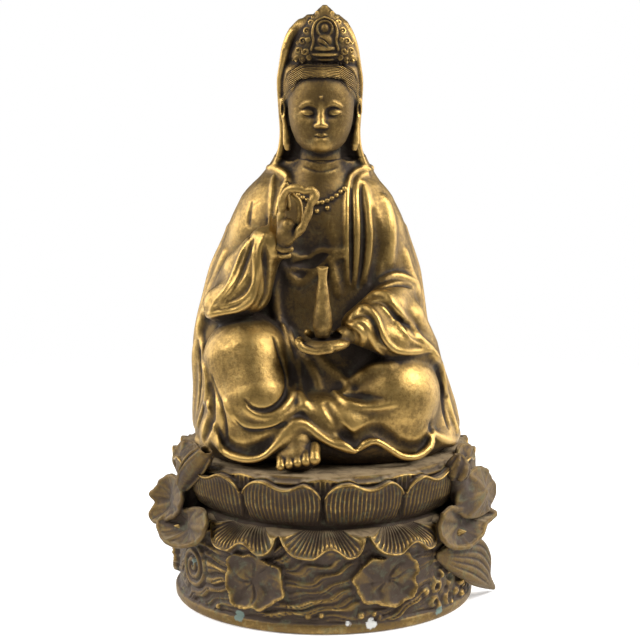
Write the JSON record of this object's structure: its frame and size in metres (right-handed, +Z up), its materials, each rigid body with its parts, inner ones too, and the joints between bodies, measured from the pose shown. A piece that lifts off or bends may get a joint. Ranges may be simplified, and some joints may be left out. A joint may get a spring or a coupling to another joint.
{
  "type": "guanyin figure",
  "caption": "Cast brass Guanyin seated at ease with a raised hand and a small vase in the other, on a round lotus plinth with fluted petals, leaves and buds.",
  "frame": {"origin": "middle of the plinth's flat underside", "axes": "+Z up, the figure looks along -Y, +X to its left hand"},
  "size_m": [0.1771, 0.1626, 0.2998],
  "materials": {
    "figure_brass": "rubbed bright on the high places, brown patina in the hollows",
    "plinth_brass": "dark brown and green patina with worn edges"
  },
  "bodies": {
    "root": {"guanyin_figure": "figure_brass", "lotus_plinth": "plinth_brass"}
  },
  "joints": []
}
